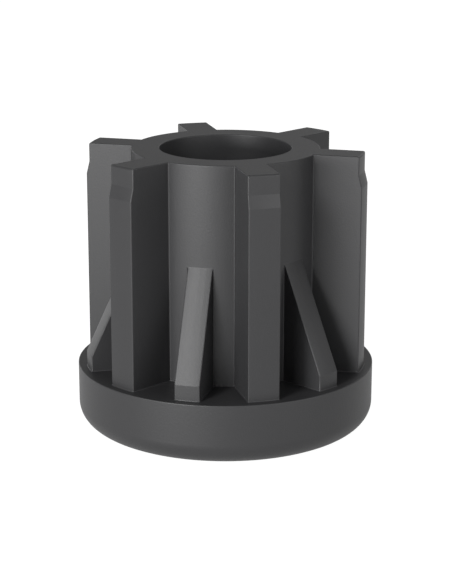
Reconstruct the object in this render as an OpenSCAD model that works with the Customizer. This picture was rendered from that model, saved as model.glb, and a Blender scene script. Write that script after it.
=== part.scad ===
// Threaded tube insert, moulded in one piece. It closes the end of a round tube and
// takes the threaded stem of a foot or castor from below.
// The axis is Z, and the flat underside of the head is at z = 0. The tube slides down
// over the ribs until it meets the top of the head. Sizes are in millimetres.

/* [Head] */
// Outside diameter of the head, flush with the outside of the tube
head_d = 48; // [46:0.5:60]
// Height of the head, from its underside to the face that the tube meets
head_h = 10; // [7:0.5:16]
// Radius of the rounded rim under the head
rim_r = 3.5; // [1:0.25:5.5]

/* [Hub] */
// Outside diameter of the hub
hub_d = 30; // [26:0.5:36]
// Height of the hub and the ribs above the head
body_h = 35; // [30:1:60]

/* [Ribs] */
// Number of ribs, with one gusset between each two
rib_count = 6; // [3:1:8]
// Thickness of a rib
rib_w = 5; // [2.5:0.25:7]
// Diameter on which the ribs and the gussets are turned where they leave the head
rib_d = 45.4; // [40:0.1:46]
// How far the outer face of a rib leans in from the head to the ramp
rib_draft = 0.05; // [0:0.05:0.4]
// How far the narrow tip of a rib stands back from the top of its outer face
tip_inset = 0.5; // [0.2:0.1:1.5]
// Height of the narrow tip that lets the tube start
tip_h = 3; // [1:0.5:6]
// Height of the ramp below the narrow tip
ramp_h = 2; // [0.5:0.5:5]

/* [Gussets] */
// Thickness of a gusset
gusset_w = 4; // [2:0.25:6]
// Height above the head at which a gusset meets the hub
gusset_h = 19; // [10:1:28]
// Height of the upright outer face of a gusset
toe_h = 2.5; // [0.5:0.25:6]

/* [Bore] */
// Nominal diameter of the metric thread
thread_d = 20; // [12:1:20]
// Pitch of the thread
thread_pitch = 2.5; // [1:0.25:2.5]
// Height above the underside at which the thread ends
thread_end = 30; // [15:1:35]
// How much wider than the thread the countersink under the head is
mouth_over = 0.7; // [0.2:0.1:3]
// Diameter of the smooth bore above the thread, which clears the stem
clear_d = 21; // [20.5:0.5:24]

/* [Edges] */
// Radius of the small rounding on the turned rims of the head, the hub and the ribs
lip_r = 0.3; // [0.1:0.05:0.5]
// Width of the small chamfer along the straight edges of the ribs and gussets
edge_w = 0.2; // [0.05:0.05:0.4]

/* [Hidden] */
$fn = 96;

// How far ribs and gussets are rooted in the head and the hub, how far cutters run
// past a face, and how far one run of a chamfer reaches into the next
root = 1;
spare = 1;
lap = 0.05;

head_r = head_d / 2;
hub_r = hub_d / 2;
top_z = head_h + body_h;

// The core of a metric thread is 1.0825 pitches narrower than its nominal size.
core_r = (thread_d - 1.0825 * thread_pitch) / 2;
mouth_r = (thread_d + mouth_over) / 2;
clear_r = clear_d / 2;

// Turned outline of the ribs, as radius and height, from their foot up and in to the hub
foot_z = head_h - root;
rooted_r = hub_r - root;
rib_r = rib_d / 2;
ramp_r = rib_r - rib_draft;
tip_r = ramp_r - tip_inset;
tip_z = top_z - tip_h;
ramp_z = tip_z - ramp_h;
rib_outline = [
    [rib_r, foot_z], [ramp_r, ramp_z], [tip_r, tip_z], [tip_r, top_z], [rooted_r, top_z]
];

// The same for the gussets, which slope up to the hub from an upright toe
toe_z = head_h + toe_h;
gusset_z = head_h + gusset_h;
gusset_outline = [[rib_r, foot_z], [rib_r, toe_z], [hub_r, gusset_z], [rooted_r, gusset_z]];

// What rounding takes off a square corner: the arc's centre is at the origin and the
// corner lies up and to the right.
module corner_waste(r) {
    difference() {
        square(r + spare);
        circle(r);
    }
}

// Where the side of a wall w thick meets the turned outline at point p
function wall_corner(p, w) = [sqrt(p[0] * p[0] - w * w / 4), p[1]];

// What a chamfer takes off both edges of a wall w thick that stands along +X, on the
// straight run of its corners from point a to point b
module edge_waste(a, b, w) {
    run = b - a;
    far = edge_w + spare;
    translate([a[0], 0, a[1]])
        rotate([0, atan2(run[0], run[1]), 0])
            linear_extrude(norm(run) + lap)
                for (side = [0, 1])
                    mirror([0, side, 0])
                        translate([0, w / 2])
                            polygon([[-far, spare], [spare, -far], [spare, spare]]);
}

// A wall w thick along +X that ends in a turned outline
module wall(outline, w) {
    last = len(outline) - 1;
    top = outline[last][1];
    difference() {
        intersection() {
            translate([rooted_r, -w / 2, foot_z])
                cube([rib_r, w, top - foot_z]);
            rotate_extrude()
                polygon(concat([[0, top], [0, foot_z]], outline));
        }
        for (i = [0 : last - 1])
            edge_waste(wall_corner(outline[i], w), wall_corner(outline[i + 1], w), w);
    }
}

// A full-height rib with its narrow tip and ramp
module rib() {
    difference() {
        wall(rib_outline, rib_w);
        rotate_extrude()
            translate([tip_r - lip_r, top_z - lip_r])
                corner_waste(lip_r);
    }
}

// A low triangular rib halfway between two full ones
module gusset() {
    wall(gusset_outline, gusset_w);
}

// The disc that the tube stands on, with its rounded rim
module head() {
    rotate_extrude()
        difference() {
            square([head_r, head_h]);
            translate([head_r - rim_r, rim_r])
                mirror([0, 1])
                    corner_waste(rim_r);
            translate([head_r - lip_r, head_h - lip_r])
                corner_waste(lip_r);
        }
}

// The round tower that carries the ribs
module hub() {
    rotate_extrude()
        difference() {
            square([hub_r, top_z]);
            translate([hub_r - lip_r, top_z - lip_r])
                corner_waste(lip_r);
        }
}

// Everything that the hole takes out: countersink, core of the thread, a cone where
// the thread ends, the smooth bore and its rounded lip
module bore() {
    rotate_extrude() {
        polygon([
            [0, -spare],
            [mouth_r + spare, -spare],
            [core_r, mouth_r - core_r],
            [core_r, thread_end],
            [clear_r, thread_end + clear_r - core_r],
            [clear_r, top_z + spare],
            [0, top_z + spare]
        ]);
        translate([clear_r + lip_r, top_z - lip_r])
            mirror([1, 0])
                corner_waste(lip_r);
    }
}

module insert_body() {
    color("#4b4b4d")
        difference() {
            union() {
                head();
                hub();
                for (i = [0 : rib_count - 1]) {
                    rotate([0, 0, 360 * i / rib_count])
                        rib();
                    rotate([0, 0, 360 * (i + 0.5) / rib_count])
                        gusset();
                }
            }
            bore();
        }
}

insert_body();
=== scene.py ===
"""A threaded tube insert, moulded in one piece, on a pale studio floor.

The insert closes the end of a round tube and takes the threaded stem of a foot from below.
Lengths are in metres, the axis is Z, and the underside of the head is at z = 0.
"""

import math

import bmesh
import bpy
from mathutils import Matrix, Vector


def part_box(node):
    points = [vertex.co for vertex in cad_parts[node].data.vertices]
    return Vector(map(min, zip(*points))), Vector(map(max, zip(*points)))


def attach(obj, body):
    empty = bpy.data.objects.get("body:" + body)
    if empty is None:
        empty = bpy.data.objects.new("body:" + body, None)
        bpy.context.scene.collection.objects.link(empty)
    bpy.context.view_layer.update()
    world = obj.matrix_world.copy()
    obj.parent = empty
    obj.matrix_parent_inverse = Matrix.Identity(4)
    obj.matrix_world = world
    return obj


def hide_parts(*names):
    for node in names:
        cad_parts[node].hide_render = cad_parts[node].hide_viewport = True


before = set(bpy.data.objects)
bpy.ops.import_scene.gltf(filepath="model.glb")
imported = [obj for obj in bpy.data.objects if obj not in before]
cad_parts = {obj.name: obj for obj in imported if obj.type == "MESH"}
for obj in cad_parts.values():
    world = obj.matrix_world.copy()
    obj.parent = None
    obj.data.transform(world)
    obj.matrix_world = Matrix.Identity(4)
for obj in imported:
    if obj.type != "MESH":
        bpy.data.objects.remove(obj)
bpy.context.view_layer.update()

bl_info = {
    "name": "Threaded tube insert",
    "version": (1, 0, 0),
    "blender": (4, 5, 0),
    "location": "3D View > Sidebar > Insert",
    "description": "Models a moulded tube insert with ribs, gussets and a threaded bore",
    "category": "Object",
}

MM = 0.001
NODE = "insert_body"
NODE_LOW, NODE_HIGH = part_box(NODE)

# Height of the photograph in pixels, its longer side, which the camera's shift is measured in
PHOTO_HEIGHT = 584

# Turned faces have this many facets all the way round, so that the ribs and gussets, 30
# degrees apart, all meet the hub in the same way and no facet line falls on their edges.
FACETS = 120

# Facets of the rounded rim, of one turn of the thread, of a rounded edge and of the floor
RIM_FACETS = 12
THREAD_FACETS = 96
EDGE_FACETS = 4
FLOOR_FACETS = 96

# Strips in which the outer faces of ribs and gussets are turned
RIB_STRIPS = 6
GUSSET_STRIPS = 4

# How far ribs and gussets are rooted in the head and the hub
ROOT = 1 * MM

# Points closer than SAME are one point, and a point closer than NEAR to a face counts as on it.
SAME = 0.002 * MM
NEAR = 0.1 * MM

# Two places from which hardly any two points of the part are equally far
ORDER_FROM = ((31.7 * MM, 52.3 * MM, -16.1 * MM), (-21.3 * MM, 8.9 * MM, 33.7 * MM))

# Angles in degrees between the faces at an edge. Up to FLAT they are merged, past BREAK the
# edge is marked sharp, past CORNER it is rounded instead, and past SMOOTH no shading runs on.
# Where a break runs on round a rounded edge, it is marked sharp past SLIGHT.
FLAT = 0.6
SLIGHT = 1
BREAK = 12
CORNER = 30
SMOOTH = 35

# Share of the edge radius that has room where a gusset runs out on the hub
RUN_OUT = 0.3

# Slope of a metric thread's sides in degrees
THREAD_SIDE = 30

# Strength of the floor's glow to the camera and in reflections, where 1 is white
GLOW_SEEN = 0.965
GLOW_MIRRORED = 0.5

# Grey of the floor's paint in the light that it throws back, to the camera and in reflections
PAINT = 0.8
PAINT_SEEN = 0.16
PAINT_MIRRORED = 0.4

# Each lamp's name, its azimuth and elevation in degrees, its width and height in metres, and
# the property that holds its power
LAMPS = (
    ("key_lamp", -22, 31, 0.15, 0.15, "key_power"),
    ("low_lamp", -20, 4, 0.48, 0.12, "low_power"),
    ("side_lamp", 66, 15, 0.7, 0.3, "side_power"),
    ("rear_lamp", -128, 5, 0.3, 0.15, "rear_power"),
    ("back_lamp", 170, 25, 0.3, 0.3, "back_power"),
)


class InsertSizes(bpy.types.PropertyGroup):
    """Sizes of the moulding."""

    head_d: bpy.props.FloatProperty(
        name="Head diameter", description="Outside diameter of the head",
        default=round(NODE_HIGH.x - NODE_LOW.x, 4), unit="LENGTH", precision=5)
    head_h: bpy.props.FloatProperty(
        name="Head height", description="From the underside to the face that the tube meets",
        default=10 * MM, unit="LENGTH", precision=5)
    rim_r: bpy.props.FloatProperty(
        name="Rim radius", description="Radius of the rounded rim under the head",
        default=3.5 * MM, unit="LENGTH", precision=5)
    hub_d: bpy.props.FloatProperty(
        name="Hub diameter", description="Outside diameter of the hub",
        default=30 * MM, unit="LENGTH", precision=5)
    top_z: bpy.props.FloatProperty(
        name="Overall height", description="Height of the hub and the ribs above the underside",
        default=NODE_HIGH.z, unit="LENGTH", precision=5)
    rib_count: bpy.props.IntProperty(
        name="Ribs", description="Number of ribs, with one gusset between each two", default=6)
    rib_w: bpy.props.FloatProperty(
        name="Rib thickness", description="Thickness of a rib",
        default=5 * MM, unit="LENGTH", precision=5)
    rib_d: bpy.props.FloatProperty(
        name="Rib diameter", description="Diameter on which the ribs are turned at the head",
        default=45.4 * MM, unit="LENGTH", precision=5)
    rib_draft: bpy.props.FloatProperty(
        name="Rib draft", description="How far a rib's outer face leans in up to the ramp",
        default=0.05 * MM, unit="LENGTH", precision=5)
    tip_inset: bpy.props.FloatProperty(
        name="Tip inset", description="How far the narrow tip stands back from the outer face",
        default=0.5 * MM, unit="LENGTH", precision=5)
    tip_h: bpy.props.FloatProperty(
        name="Tip height", description="Height of the narrow tip that lets the tube start",
        default=3 * MM, unit="LENGTH", precision=5)
    ramp_h: bpy.props.FloatProperty(
        name="Ramp height", description="Height of the ramp below the narrow tip",
        default=2 * MM, unit="LENGTH", precision=5)
    gusset_w: bpy.props.FloatProperty(
        name="Gusset thickness", description="Thickness of a gusset",
        default=4 * MM, unit="LENGTH", precision=5)
    gusset_h: bpy.props.FloatProperty(
        name="Gusset height", description="Height above the head at which a gusset meets the hub",
        default=19 * MM, unit="LENGTH", precision=5)
    toe_h: bpy.props.FloatProperty(
        name="Toe height", description="Height of a gusset's upright outer face",
        default=2.5 * MM, unit="LENGTH", precision=5)
    thread_d: bpy.props.FloatProperty(
        name="Thread diameter", description="Nominal diameter of the metric thread",
        default=20 * MM, unit="LENGTH", precision=5)
    thread_pitch: bpy.props.FloatProperty(
        name="Thread pitch", description="Pitch of the metric thread",
        default=2.5 * MM, unit="LENGTH", precision=5)
    thread_end: bpy.props.FloatProperty(
        name="Thread end", description="Height above the underside at which the thread ends",
        default=30 * MM, unit="LENGTH", precision=5)
    mouth_over: bpy.props.FloatProperty(
        name="Countersink", description="How much wider than the thread the countersink is",
        default=0.7 * MM, unit="LENGTH", precision=5)
    clear_d: bpy.props.FloatProperty(
        name="Clear bore", description="Diameter of the smooth bore above the thread",
        default=21 * MM, unit="LENGTH", precision=5)
    edge_r: bpy.props.FloatProperty(
        name="Edge radius",
        description="Radius of the rounding on the other edges and in the inner corners",
        default=0.15 * MM, unit="LENGTH", precision=5)
    lip_r: bpy.props.FloatProperty(
        name="Lip radius", description="Radius of the rounding round the top of the ribs' tips",
        default=0.3 * MM, unit="LENGTH", precision=5)


class InsertFinish(bpy.types.PropertyGroup):
    """Colour and surface of the plastic."""

    colour: bpy.props.FloatVectorProperty(
        name="Colour", description="Charcoal of the plastic under its gloss",
        default=(0.022, 0.022, 0.023, 1), size=4, subtype="COLOR", min=0, max=1)
    roughness: bpy.props.FloatProperty(
        name="Roughness", description="Roughness of the spark-eroded surface",
        default=0.45, min=0, max=1, subtype="FACTOR")
    ior: bpy.props.FloatProperty(
        name="Index of refraction", description="Sets how strongly the plastic reflects",
        default=1.42, min=1)
    grain: bpy.props.FloatProperty(
        name="Grain", description="Width of one grain of the surface",
        default=0.28 * MM, unit="LENGTH", precision=5)
    grain_depth: bpy.props.FloatProperty(
        name="Grain depth", description="Height of one grain of the surface",
        default=0.017 * MM, unit="LENGTH", precision=6)
    grain_spread: bpy.props.FloatProperty(
        name="Grain spread", description="How far the grain changes the roughness up and down",
        default=0.04, min=0, max=1, subtype="FACTOR")
    cloud: bpy.props.FloatProperty(
        name="Cloud", description="Width of one faint cloud in the colour",
        default=11.11 * MM, unit="LENGTH", precision=5)
    cloud_spread: bpy.props.FloatProperty(
        name="Cloud spread", description="How far the clouds change the colour up and down",
        default=0.05, min=0, max=1, subtype="FACTOR")


class StudioLook(bpy.types.PropertyGroup):
    """Camera, lamps and floor."""

    lens: bpy.props.FloatProperty(
        name="Focal length", description="Focal length in millimetres on a 36 mm frame",
        default=106.12, unit="CAMERA")
    distance: bpy.props.FloatProperty(
        name="Distance", description="From the camera to the point that it looks at",
        default=279.41 * MM, unit="LENGTH", precision=5)
    aim_z: bpy.props.FloatProperty(
        name="Aim height", description="Height on the axis of the point that the camera looks at",
        default=21.061 * MM, unit="LENGTH", precision=5)
    azimuth: bpy.props.FloatProperty(
        name="Azimuth", description="Turn of the camera about the axis",
        default=math.radians(15), subtype="ANGLE")
    elevation: bpy.props.FloatProperty(
        name="Elevation", description="Height of the camera above the horizon",
        default=math.radians(15.882), subtype="ANGLE")
    off_centre: bpy.props.FloatProperty(
        name="Off centre", description="How far left of the frame's middle the axis is",
        default=0.54, subtype="PIXEL")
    air: bpy.props.FloatProperty(
        name="Air", description="Strength of the even light from all round",
        default=0.37, min=0)
    lamp_distance: bpy.props.FloatProperty(
        name="Lamp distance", description="From each lamp to the object",
        default=700 * MM, unit="LENGTH")
    key_power: bpy.props.FloatProperty(
        name="Key power", description="Power of the high lamp at the front left",
        default=3.15, subtype="POWER")
    low_power: bpy.props.FloatProperty(
        name="Low power", description="Power of the low, wide lamp at the front left",
        default=4.45, subtype="POWER")
    side_power: bpy.props.FloatProperty(
        name="Side power", description="Power of the wide lamp at the right",
        default=2.1, subtype="POWER")
    rear_power: bpy.props.FloatProperty(
        name="Rear power", description="Power of the low lamp at the rear left",
        default=0.34, subtype="POWER")
    back_power: bpy.props.FloatProperty(
        name="Back power", description="Power of the weak lamp behind the object",
        default=0.22, subtype="POWER")
    floor_r: bpy.props.FloatProperty(
        name="Floor radius", description="Radius of the round floor",
        default=3, unit="LENGTH")
    backdrop_h: bpy.props.FloatProperty(
        name="Backdrop height", description="Height of the wall round the floor",
        default=0.2, unit="LENGTH")


def clear_selection():
    """Leaves nothing selected, the frame's own nodes among them."""
    bpy.ops.object.select_all(action="DESELECT")


def choose(piece):
    """Makes one object the selected and active one."""
    clear_selection()
    piece.select_set(True)
    bpy.context.view_layer.objects.active = piece


def pick(kind, test):
    """Selects the verts, edges or faces of the mesh being edited that pass a test."""
    mesh = bpy.context.edit_object.data
    kinds = ("verts", "edges", "faces")
    bpy.ops.mesh.select_all(action="DESELECT")
    bpy.context.tool_settings.mesh_select_mode = [kind == name for name in kinds]
    shape = bmesh.from_edit_mesh(mesh)
    for element in getattr(shape, kind):
        if test(element):
            element.select_set(True)
    bmesh.update_edit_mesh(mesh)


def close_up():
    """Merges points that coincide and turns all faces of the mesh being edited outwards."""
    bpy.ops.mesh.select_all(action="SELECT")
    bpy.ops.mesh.remove_doubles(threshold=SAME)
    bpy.ops.mesh.normals_make_consistent(inside=False)


def put_in_order():
    """Sorts the elements of the mesh being edited by place.

    A boolean leaves them in another order each run, and merging and rounding depend on it.
    """
    bpy.ops.mesh.select_all(action="SELECT")
    for place in ORDER_FROM:
        bpy.context.scene.cursor.location = place
        bpy.ops.mesh.sort_elements(type="CURSOR_DISTANCE", elements={"VERT", "EDGE", "FACE"})
    bpy.context.scene.cursor.location = (0, 0, 0)


def draw_outline(name, points):
    """A new object with a closed outline through points given as radius and height.

    It starts as a small plane merged into one point, and is left in edit mode.
    """
    clear_selection()
    bpy.context.tool_settings.mesh_select_mode = (True, False, False)
    bpy.ops.mesh.primitive_plane_add(size=MM)
    bpy.context.object.name = name
    bpy.ops.object.mode_set(mode="EDIT")
    bpy.ops.mesh.merge(type="CENTER")
    bpy.ops.transform.translate(value=(points[0][0], 0, points[0][1]))
    for here, there in zip(points, points[1:] + points[:1]):
        step = (there[0] - here[0], 0, there[1] - here[1])
        bpy.ops.mesh.extrude_vertices_move(TRANSFORM_OT_translate={"value": step})
    bpy.ops.mesh.select_all(action="SELECT")
    bpy.ops.mesh.remove_doubles(threshold=SAME)


def arc(centre, radius, start, end, steps):
    """Points on an arc between two angles in degrees, both ends included."""
    points = []
    for i in range(steps + 1):
        angle = math.radians(start + (end - start) * i / steps)
        points.append((centre[0] + radius * math.cos(angle), centre[1] + radius * math.sin(angle)))
    return points


def core_radius(size):
    """The core of a metric thread is 1.0825 pitches narrower than its nominal size."""
    return (size.thread_d - 1.0825 * size.thread_pitch) / 2


def model_turned(size):
    """Head, hub and bore as one turned solid."""
    head_r = size.head_d / 2
    hub_r = size.hub_d / 2
    core_r = core_radius(size)
    mouth_r = (size.thread_d + size.mouth_over) / 2
    clear_r = size.clear_d / 2
    outside = arc((head_r - size.rim_r, size.rim_r), size.rim_r, -90, 0, RIM_FACETS)
    outside += [(head_r, size.head_h), (hub_r, size.head_h), (hub_r, size.top_z)]
    inside = [
        (clear_r, size.top_z),
        (clear_r, size.thread_end + clear_r - core_r),
        (core_r, size.thread_end),
        (core_r, mouth_r - core_r),
        (mouth_r, 0),
    ]
    draw_outline("turned", outside + inside)
    bpy.ops.mesh.spin(steps=FACETS, angle=2 * math.pi, center=(0, 0, 0), axis=(0, 0, 1))
    close_up()
    bpy.ops.object.mode_set(mode="OBJECT")
    return bpy.context.object


def new_block(name, low, high):
    """A block between two corners, left in edit mode with its object at the origin."""
    clear_selection()
    low = Vector(low)
    high = Vector(high)
    bpy.ops.mesh.primitive_cube_add(size=1, location=(low + high) / 2, scale=high - low)
    bpy.context.object.name = name
    bpy.ops.object.transform_apply(location=True, rotation=True, scale=True)
    bpy.ops.object.mode_set(mode="EDIT")


def grow_top(height):
    """Extrudes the block's top face up to a height."""
    shape = bmesh.from_edit_mesh(bpy.context.edit_object.data)
    top = max(v.co.z for v in shape.verts)
    pick("faces", lambda f: f.calc_center_median().z > top - SAME)
    bpy.ops.mesh.extrude_region_move(TRANSFORM_OT_translate={"value": (0, 0, height - top)})


def turn_outer_face(outline, width, inner_r, strips):
    """Cuts the block into strips across its thickness and sets its outer points on a turned outline."""
    steps = [width * (i / strips - 0.5) for i in range(strips + 1)]

    def outside(place):
        return place.x > inner_r + SAME

    for y in steps[1:-1]:
        bpy.ops.mesh.select_all(action="SELECT")
        bpy.ops.mesh.bisect(plane_co=(0, y, 0), plane_no=(0, 1, 0))
    for radius, z in outline:
        for y in steps:
            pick("verts", lambda v: outside(v.co) and abs(v.co.z - z) < SAME and abs(v.co.y - y) < SAME)
            shape = bmesh.from_edit_mesh(bpy.context.edit_object.data)
            point = next(v for v in shape.verts if v.select)
            shift = math.sqrt(radius * radius - y * y) - point.co.x
            bpy.ops.transform.translate(value=(shift, 0, 0))

    # The outer strips are slightly twisted, and their short diagonals keep clear of the corners.
    pick("faces", lambda f: outside(f.calc_center_median()) and abs(f.normal.y) < 0.5)
    bpy.ops.mesh.quads_convert_to_tris(quad_method="SHORTEST_DIAGONAL")
    close_up()
    bpy.ops.object.mode_set(mode="OBJECT")
    return bpy.context.object


def model_rib(size):
    """A full-height rib along +X with its ramp and narrow tip."""
    rib_r = size.rib_d / 2
    ramp_r = rib_r - size.rib_draft
    tip_r = ramp_r - size.tip_inset
    tip_z = size.top_z - size.tip_h
    ramp_z = tip_z - size.ramp_h
    foot_z = size.head_h - ROOT
    inner_r = size.hub_d / 2 - ROOT
    new_block("rib", (inner_r, -size.rib_w / 2, foot_z), (rib_r, size.rib_w / 2, ramp_z))
    grow_top(tip_z)
    grow_top(size.top_z)
    outline = [(rib_r, foot_z), (ramp_r, ramp_z), (tip_r, tip_z), (tip_r, size.top_z)]
    return turn_outer_face(outline, size.rib_w, inner_r, RIB_STRIPS)


def model_gusset(size):
    """A low triangular rib along +X, whose slope runs on from an upright toe into the hub."""
    rib_r = size.rib_d / 2
    hub_r = size.hub_d / 2
    toe_z = size.head_h + size.toe_h
    gusset_z = size.head_h + size.gusset_h
    foot_z = size.head_h - ROOT
    end_r = hub_r - ROOT
    end_z = gusset_z + ROOT * (gusset_z - toe_z) / (rib_r - hub_r)
    inner_r = end_r - ROOT
    new_block("gusset", (inner_r, -size.gusset_w / 2, foot_z), (rib_r, size.gusset_w / 2, toe_z))
    grow_top(end_z)
    outline = [(rib_r, foot_z), (rib_r, toe_z), (end_r, end_z)]
    return turn_outer_face(outline, size.gusset_w, inner_r, GUSSET_STRIPS)


def copy_round(piece, count, offset):
    """Copies of a piece evenly round the axis, each with its own mesh.

    The offset turns them all by a part of the step from one to the next.
    """
    copies = []
    for i in range(count):
        choose(piece)
        bpy.ops.object.duplicate(linked=False)
        copy = bpy.context.object
        copy.rotation_euler.z = 2 * math.pi * (i + offset) / count
        bpy.ops.object.transform_apply(location=True, rotation=True, scale=True)
        copies.append(copy)
    bpy.data.objects.remove(piece)
    return copies


def join(pieces, name):
    """One object from several."""
    clear_selection()
    for piece in pieces:
        piece.select_set(True)
    bpy.context.view_layer.objects.active = pieces[0]
    bpy.ops.object.join()
    pieces[0].name = name
    return pieces[0]


def combine(body, tool, operation):
    """Adds a tool to a body or cuts it out, and removes the tool."""
    points_before = len(body.data.vertices)
    choose(body)
    bpy.ops.object.modifier_add(type="BOOLEAN")
    step = body.modifiers[-1]
    step.operation = operation
    step.solver = "EXACT"
    step.object = tool
    bpy.ops.object.modifier_apply(modifier=step.name)
    if len(body.data.vertices) == points_before:
        raise RuntimeError(f"{tool.name} left {body.name} as it was")
    bpy.data.objects.remove(tool)


def soften_edges(body, size):
    """Merges flat faces, marks breaks sharp, and rounds all edges and inner corners but the thread's.

    The rounding on top of the ribs' tips has the lip radius, and the others have the edge radius.
    """
    thread_r = size.thread_d / 2 + NEAR
    gusset_z = size.head_h + size.gusset_h
    tip_z = size.top_z - size.tip_h
    breaks = (size.head_h + size.toe_h, tip_z - size.ramp_h, tip_z)
    tip_r = size.rib_d / 2 - size.rib_draft - size.tip_inset
    share = size.edge_r / size.lip_r

    def turn(edge):
        if len(edge.link_faces) != 2:
            return 0
        return math.degrees(edge.calc_face_angle())

    def outside_thread(edge):
        return all(v.co.to_2d().length > thread_r for v in edge.verts)

    def at_gusset_top(edge):
        return all(abs(v.co.z - gusset_z) < NEAR for v in edge.verts)

    def at_tip_top(edge):
        at_top = all(v.co.z > size.top_z - SAME for v in edge.verts)
        return at_top and all(v.co.to_2d().length > tip_r - NEAR for v in edge.verts)

    def along_break(edge):
        return any(all(abs(v.co.z - z) < size.edge_r / 2 for v in edge.verts) for z in breaks)

    choose(body)
    bpy.ops.object.mode_set(mode="EDIT")
    put_in_order()
    close_up()
    put_in_order()
    bpy.ops.mesh.dissolve_limited(angle_limit=math.radians(FLAT))
    pick("edges", lambda e: outside_thread(e) and BREAK < turn(e) <= CORNER)
    bpy.ops.mesh.mark_sharp()
    pick("edges", lambda e: outside_thread(e) and turn(e) > CORNER)
    bpy.ops.transform.edge_bevelweight(value=share)
    pick("edges", at_tip_top)
    bpy.ops.transform.edge_bevelweight(value=1 - share)
    pick("edges", at_gusset_top)
    bpy.ops.transform.edge_bevelweight(value=RUN_OUT * share)
    bpy.ops.object.mode_set(mode="OBJECT")
    bpy.ops.object.modifier_add(type="BEVEL")
    step = body.modifiers[-1]
    step.limit_method = "WEIGHT"
    step.width = size.lip_r
    step.segments = EDGE_FACETS
    step.use_clamp_overlap = False
    bpy.ops.object.modifier_apply(modifier=step.name)

    # The breaks stay sharp on the roundings too.
    bpy.ops.object.mode_set(mode="EDIT")
    pick("edges", lambda e: outside_thread(e) and along_break(e) and turn(e) > SLIGHT)
    bpy.ops.mesh.mark_sharp()
    bpy.ops.object.mode_set(mode="OBJECT")


def model_thread(size):
    """The groove of the metric thread as a helical bar, to be cut out of the bore.

    The bar reaches into the bore and past both ends of the thread. Where it meets the core it
    is three quarters of a pitch wide.
    """
    pitch = size.thread_pitch
    core_r = core_radius(size)
    major_r = size.thread_d / 2
    slope = math.tan(math.radians(THREAD_SIDE))
    inner_r = core_r - pitch / 8
    inner_half = pitch * 3 / 8 + (core_r - inner_r) * slope
    outer_half = inner_half - (major_r - inner_r) * slope
    spare = 1.5 * pitch
    start_z = -spare
    end_z = size.thread_end + spare
    turns = math.ceil((end_z - start_z) / pitch)
    draw_outline("thread", [
        (inner_r, start_z - inner_half),
        (major_r, start_z - outer_half),
        (major_r, start_z + outer_half),
        (inner_r, start_z + inner_half),
    ])
    bpy.ops.object.mode_set(mode="OBJECT")
    bar = bpy.context.object
    bpy.ops.object.modifier_add(type="SCREW")
    step = bar.modifiers[-1]
    step.axis = "Z"
    step.angle = 2 * math.pi
    step.screw_offset = pitch
    step.iterations = turns
    step.steps = THREAD_FACETS
    step.render_steps = THREAD_FACETS
    bpy.ops.object.modifier_apply(modifier=step.name)
    bpy.ops.object.mode_set(mode="EDIT")
    bpy.ops.mesh.select_all(action="SELECT")
    bpy.ops.mesh.fill_holes(sides=0)
    close_up()
    bpy.ops.object.mode_set(mode="OBJECT")
    return bar


def plastic(finish):
    """Matte charcoal plastic with the fine grain of a spark-eroded mould."""
    material = bpy.data.materials.new("charcoal_plastic")
    material.use_nodes = True
    nodes = material.node_tree.nodes
    links = material.node_tree.links
    shader = nodes["Principled BSDF"]
    shader.inputs["Metallic"].default_value = 0
    shader.inputs["IOR"].default_value = finish.ior
    place = nodes.new("ShaderNodeTexCoord")

    # Slow, faint clouds in the colour, as in a filled plastic
    clouds = nodes.new("ShaderNodeTexNoise")
    clouds.inputs["Scale"].default_value = 1 / finish.cloud
    clouds.inputs["Detail"].default_value = 3
    tint = nodes.new("ShaderNodeMix")
    tint.data_type = "RGBA"
    dark = [c * (1 - finish.cloud_spread) for c in finish.colour[:3]]
    light = [c * (1 + finish.cloud_spread) for c in finish.colour[:3]]
    tint.inputs["A"].default_value = (*dark, 1)
    tint.inputs["B"].default_value = (*light, 1)
    links.new(place.outputs["Object"], clouds.inputs["Vector"])
    links.new(clouds.outputs["Fac"], tint.inputs["Factor"])
    links.new(tint.outputs["Result"], shader.inputs["Base Color"])

    # Fine grain, as bump and as a small change in roughness
    grain = nodes.new("ShaderNodeTexNoise")
    grain.inputs["Scale"].default_value = 1 / finish.grain
    grain.inputs["Detail"].default_value = 2
    grain.inputs["Roughness"].default_value = 0.6
    bump = nodes.new("ShaderNodeBump")
    bump.inputs["Strength"].default_value = 1
    bump.inputs["Distance"].default_value = finish.grain_depth
    rough = nodes.new("ShaderNodeMapRange")
    rough.inputs["To Min"].default_value = finish.roughness - finish.grain_spread
    rough.inputs["To Max"].default_value = finish.roughness + finish.grain_spread
    links.new(place.outputs["Object"], grain.inputs["Vector"])
    links.new(grain.outputs["Fac"], bump.inputs["Height"])
    links.new(bump.outputs["Normal"], shader.inputs["Normal"])
    links.new(grain.outputs["Fac"], rough.inputs["Value"])
    links.new(rough.outputs["Result"], shader.inputs["Roughness"])
    return material


class INSERT_OT_moulding(bpy.types.Operator):
    """Model the moulding: turned core, ribs, gussets, rounded edges and thread."""

    bl_idname = "insert.moulding"
    bl_label = "Moulding"

    def execute(self, context):
        size = context.scene.insert_sizes
        body = model_turned(size)
        ribs = copy_round(model_rib(size), size.rib_count, 0)
        gussets = copy_round(model_gusset(size), size.rib_count, 0.5)
        combine(body, model_thread(size), "DIFFERENCE")
        combine(body, join(ribs + gussets, "walls"), "UNION")
        soften_edges(body, size)
        bpy.ops.object.shade_smooth_by_angle(angle=math.radians(SMOOTH), keep_sharp_edges=True)
        bpy.ops.object.modifier_add(type="WEIGHTED_NORMAL")
        step = body.modifiers[-1]
        step.keep_sharp = True
        bpy.ops.object.modifier_apply(modifier=step.name)
        body.name = "threaded_moulding"
        body.data.materials.append(plastic(context.scene.insert_finish))
        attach(body, "root")
        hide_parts(NODE)
        return {"FINISHED"}


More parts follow.
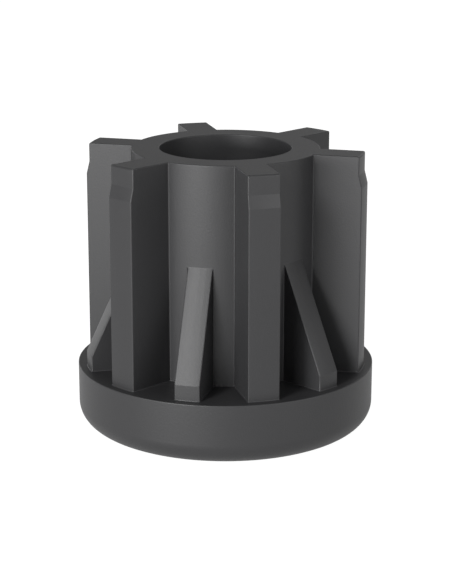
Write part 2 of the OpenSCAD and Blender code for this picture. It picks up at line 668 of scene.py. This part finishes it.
def pale_floor():
    """Pale paint that glows, to the camera just short of white and in reflections half as much.

    The lamps' light brings it up from there, so that the object's shadow still shows.
    """
    material = bpy.data.materials.new("pale_floor")
    material.use_nodes = True
    nodes = material.node_tree.nodes
    links = material.node_tree.links
    nodes.remove(nodes["Principled BSDF"])

    def calculate(operation, first, second, third=0):
        node = nodes.new("ShaderNodeMath")
        node.operation = operation
        for socket, value in zip(node.inputs, (first, second, third)):
            if isinstance(value, bpy.types.NodeSocket):
                links.new(value, socket)
            else:
                socket.default_value = value
        return node.outputs["Value"]

    path = nodes.new("ShaderNodeLightPath")
    seen = path.outputs["Is Camera Ray"]
    mirrored = calculate("MAXIMUM", path.outputs["Is Glossy Ray"], path.outputs["Is Transmission Ray"])

    glow_seen = calculate("MULTIPLY", seen, GLOW_SEEN)
    glow_mirrored = calculate("MULTIPLY", mirrored, GLOW_MIRRORED)
    glow = calculate("MAXIMUM", glow_seen, glow_mirrored)
    white = nodes.new("ShaderNodeEmission")
    white.inputs["Color"].default_value = (1, 1, 1, 1)
    links.new(glow, white.inputs["Strength"])

    shade_seen = calculate("MULTIPLY_ADD", seen, PAINT_SEEN - PAINT, PAINT)
    shade = calculate("MULTIPLY_ADD", mirrored, PAINT_MIRRORED - PAINT, shade_seen)
    paint = nodes.new("ShaderNodeBsdfDiffuse")
    links.new(shade, paint.inputs["Color"])

    both = nodes.new("ShaderNodeAddShader")
    links.new(paint.outputs["BSDF"], both.inputs[0])
    links.new(white.outputs["Emission"], both.inputs[1])
    links.new(both.outputs["Shader"], nodes["Material Output"].inputs["Surface"])
    return material


def model_floor(look):
    """A wide round floor whose edge turns up into a low backdrop."""
    clear_selection()
    bpy.ops.mesh.primitive_circle_add(
        vertices=FLOOR_FACETS, radius=look.floor_r, fill_type="NGON")
    floor = bpy.context.object
    floor.name = "floor"
    bpy.ops.object.mode_set(mode="EDIT")
    bpy.ops.mesh.extrude_region_move(TRANSFORM_OT_translate={"value": (0, 0, look.backdrop_h)})
    bpy.ops.mesh.delete(type="ONLY_FACE")
    bpy.ops.object.mode_set(mode="OBJECT")
    floor.data.materials.append(pale_floor())


def aim(thing, place, target):
    """Puts a lamp or the camera at a place and points it at a target."""
    thing.location = place
    thing.rotation_mode = "QUATERNION"
    thing.rotation_quaternion = (Vector(target) - Vector(place)).to_track_quat("-Z", "Y")


def on_sphere(azimuth, elevation, distance, target):
    """A place round a target. Azimuth 0 is in front, on the -Y side, and grows towards +X."""
    flat = math.cos(elevation)
    way = Vector((math.sin(azimuth) * flat, -math.cos(azimuth) * flat, math.sin(elevation)))
    return Vector(target) + way * distance


def add_lamp(name, azimuth, elevation, distance, width, height, power, target):
    """A soft box that faces the object, out of the camera's sight."""
    bpy.ops.object.light_add(type="AREA")
    lamp = bpy.context.object
    lamp.name = name
    lamp.data.shape = "RECTANGLE"
    lamp.data.size = width
    lamp.data.size_y = height
    lamp.data.energy = power
    lamp.visible_camera = False
    aim(lamp, on_sphere(math.radians(azimuth), math.radians(elevation), distance, target), target)


class INSERT_OT_stage(bpy.types.Operator):
    """Set up the floor, the air, the lamps and the camera."""

    bl_idname = "insert.stage"
    bl_label = "Stage"

    def execute(self, context):
        look = context.scene.insert_studio
        model_floor(look)

        air = bpy.data.worlds.new("studio_air")
        air.use_nodes = True
        air.node_tree.nodes["Background"].inputs["Color"].default_value = (1, 1, 1, 1)
        air.node_tree.nodes["Background"].inputs["Strength"].default_value = look.air
        context.scene.world = air

        target = (0, 0, look.aim_z)
        for name, azimuth, elevation, width, height, power in LAMPS:
            strength = getattr(look, power)
            add_lamp(name, azimuth, elevation, look.lamp_distance, width, height, strength, target)

        bpy.ops.object.camera_add()
        camera = context.object
        camera.name = "camera"
        camera.data.lens = look.lens
        camera.data.shift_x = look.off_centre / PHOTO_HEIGHT
        aim(camera, on_sphere(look.azimuth, look.elevation, look.distance, target), target)
        camera.data.clip_start = 10 * MM
        context.scene.camera = camera
        context.scene.view_settings.view_transform = "Standard"
        return {"FINISHED"}


class INSERT_PT_panel(bpy.types.Panel):
    """Lists the sizes, the finish and the stage, with a button for each operator."""

    bl_idname = "INSERT_PT_panel"
    bl_label = "Threaded tube insert"
    bl_space_type = "VIEW_3D"
    bl_region_type = "UI"
    bl_category = "Insert"

    def draw(self, context):
        scene = context.scene
        for group, operator in (
            (scene.insert_sizes, "insert.moulding"),
            (scene.insert_finish, None),
            (scene.insert_studio, "insert.stage"),
        ):
            box = self.layout.box()
            for name in group.__annotations__:
                box.prop(group, name)
            if operator:
                box.operator(operator)


CLASSES = (
    InsertSizes, InsertFinish, StudioLook, INSERT_OT_moulding, INSERT_OT_stage, INSERT_PT_panel)


def register():
    """Adds the classes and the properties to Blender."""
    for cls in CLASSES:
        bpy.utils.register_class(cls)
    bpy.types.Scene.insert_sizes = bpy.props.PointerProperty(type=InsertSizes)
    bpy.types.Scene.insert_finish = bpy.props.PointerProperty(type=InsertFinish)
    bpy.types.Scene.insert_studio = bpy.props.PointerProperty(type=StudioLook)


def unregister():
    """Takes them out again."""
    del bpy.types.Scene.insert_studio
    del bpy.types.Scene.insert_finish
    del bpy.types.Scene.insert_sizes
    for cls in reversed(CLASSES):
        bpy.utils.unregister_class(cls)


def main():
    """Builds the whole scene."""
    register()
    bpy.ops.insert.moulding()
    bpy.ops.insert.stage()


if __name__ == "__main__":
    main()
